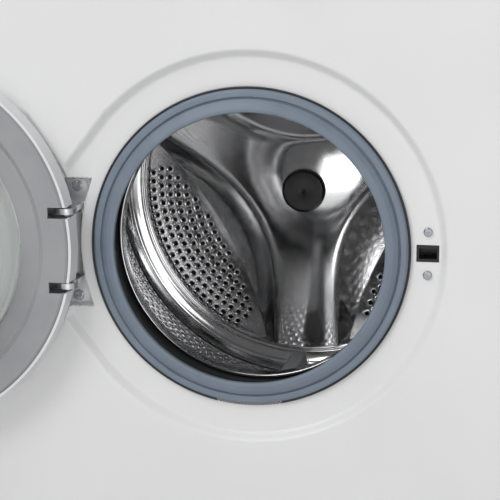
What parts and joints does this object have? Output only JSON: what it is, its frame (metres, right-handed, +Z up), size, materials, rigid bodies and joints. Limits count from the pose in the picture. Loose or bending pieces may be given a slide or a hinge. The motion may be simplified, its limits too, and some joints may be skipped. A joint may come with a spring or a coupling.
{
  "type": "front load washing machine",
  "caption": "Front-loading washing machine with an open round glass door, rubber porthole gasket, perforated steel drum, detergent drawer and control panel.",
  "frame": {"origin": "on the floor, under the middle of the cabinet", "axes": "+Z up, -Y out of the front, +X to the right of someone facing the front"},
  "size_m": [0.9129, 0.722, 0.848],
  "materials": {
    "white_enamel": "smooth satin enamel",
    "white_plastic": "satin",
    "zinc_steel": "zinc plated",
    "stainless": "polished stainless steel",
    "cast_aluminium": "as cast",
    "grey_plastic": "fine grain",
    "silver_plastic": "satin silver",
    "black_plastic": "fine grain",
    "black_gloss": "polished",
    "glass": "clear",
    "gasket_rubber": "smooth blue-grey rubber",
    "black_rubber": "matt",
    "concrete": "cast concrete"
  },
  "bodies": {
    "cabinet": {"cabinet_wrap": "white_enamel", "rear_cover": "zinc_steel", "rear_screws": "zinc_steel", "transit_caps": "grey_plastic", "front_panel": "white_enamel", "base_tray": "black_plastic", "crossbars": "zinc_steel", "top_cover": "white_plastic", "control_panel": "white_plastic", "display_window": "black_gloss", "control_board": "black_plastic", "dispenser_housing": "grey_plastic", "dispenser_hose": "black_rubber", "inlet_valve": "grey_plastic", "drain_outlet": "grey_plastic", "hinge_bracket": "zinc_steel", "front_screws": "zinc_steel", "door_lock": "black_plastic", "gasket": "gasket_rubber", "gasket_wire": "zinc_steel", "suspension_springs": "zinc_steel", "damper_cylinders": "black_plastic", "sump_hose": "black_rubber", "drain_pump": "grey_plastic"},
    "tub": {"tub_front": "grey_plastic", "tub_rear": "grey_plastic", "bearings": "zinc_steel", "shaft_seal": "black_rubber", "counterweight_top": "concrete", "counterweight_front": "concrete", "heater": "stainless", "motor": "zinc_steel", "drive_belt": "black_rubber", "damper_rods": "black_plastic"},
    "drum": {"drum_shell": "stainless", "drum_front": "stainless", "drum_back": "stainless", "hub_cap": "black_gloss", "lifters": "grey_plastic", "spider": "cast_aluminium", "drum_shaft": "zinc_steel", "drum_pulley": "cast_aluminium"},
    "rotor": {"motor_pulley": "zinc_steel"},
    "door": {"door_frame": "white_plastic", "door_trim": "grey_plastic", "door_glass": "glass", "door_arms": "zinc_steel"},
    "hook": {"door_hook": "zinc_steel"},
    "drawer": {"drawer_front": "white_plastic", "drawer_box": "grey_plastic"},
    "knob": {"programme_knob": "silver_plastic"},
    "power": {"power_button": "silver_plastic"},
    "start": {"start_button": "silver_plastic"},
    "option": {"option_button": "silver_plastic"},
    "flap": {"service_flap": "white_plastic"},
    "filter": {"filter_cap": "grey_plastic"},
    "front_left_foot": {"foot_front_left": "black_plastic"},
    "front_right_foot": {"foot_front_right": "black_plastic"},
    "rear_left_foot": {"foot_rear_left": "black_plastic"},
    "rear_right_foot": {"foot_rear_right": "black_plastic"}
  },
  "joints": [
    {"name": "tub_bounce", "type": "slide", "parent": "cabinet", "child": "tub", "axis": [0, 0, 1], "range_m": [-0.006, 0.006], "stiffness_N_per_m": 40000, "springref_m": 0.00934, "deforming": ["gasket", "gasket_wire", "dispenser_hose", "sump_hose", "suspension_springs"]},
    {"name": "drum_spin", "type": "hinge", "parent": "tub", "child": "drum", "pos_m": [0, 0, 0.432], "axis": [0, 1, 0], "continuous": true},
    {"name": "motor_spin", "type": "hinge", "parent": "tub", "child": "rotor", "pos_m": [0.07, 0.2, 0.098], "axis": [0, 1, 0], "continuous": true},
    {"name": "door_hinge", "type": "hinge", "parent": "cabinet", "child": "door", "pos_m": [-0.201, -0.305, 0.432], "axis": [0, 0, 1], "range_deg": [0, 180]},
    {"name": "hook_pivot", "type": "hinge", "parent": "door", "child": "hook", "pos_m": [-0.6, -0.314, 0.432], "axis": [0, 0, 1], "range_deg": [0, 7], "stiffness_Nm_per_rad": 0.5},
    {"name": "drawer_slide", "type": "slide", "parent": "cabinet", "child": "drawer", "axis": [0, -1, 0], "range_m": [0, 0.2]},
    {"name": "knob_turn", "type": "hinge", "parent": "cabinet", "child": "knob", "pos_m": [0.025, -0.29, 0.781], "axis": [0, 1, 0], "continuous": true},
    {"name": "power_press", "type": "slide", "parent": "cabinet", "child": "power", "axis": [0, 1, 0], "range_m": [0, 0.002], "stiffness_N_per_m": 800},
    {"name": "start_press", "type": "slide", "parent": "cabinet", "child": "start", "axis": [0, 1, 0], "range_m": [0, 0.002], "stiffness_N_per_m": 800},
    {"name": "option_press", "type": "slide", "parent": "cabinet", "child": "option", "axis": [0, 1, 0], "range_m": [0, 0.002], "stiffness_N_per_m": 800},
    {"name": "flap_hinge", "type": "hinge", "parent": "cabinet", "child": "flap", "pos_m": [0.203, -0.2765, 0.048], "axis": [1, 0, 0], "range_deg": [0, 90]},
    {"name": "filter_turn", "type": "hinge", "parent": "cabinet", "child": "filter", "pos_m": [0.203, -0.2, 0.088], "axis": [0, 1, 0], "range_deg": [0, 90]},
    {"name": "front_left_level", "type": "slide", "parent": "cabinet", "child": "front_left_foot", "axis": [0, 0, 1], "range_m": [-0.012, 0]},
    {"name": "front_right_level", "type": "slide", "parent": "cabinet", "child": "front_right_foot", "axis": [0, 0, 1], "range_m": [-0.012, 0]},
    {"name": "rear_left_level", "type": "slide", "parent": "cabinet", "child": "rear_left_foot", "axis": [0, 0, 1], "range_m": [-0.012, 0]},
    {"name": "rear_right_level", "type": "slide", "parent": "cabinet", "child": "rear_right_foot", "axis": [0, 0, 1], "range_m": [-0.012, 0]}
  ],
  "couplings": [
    {"joint": "motor_spin", "follows": "drum_spin", "ratio": 12.727}
  ]
}
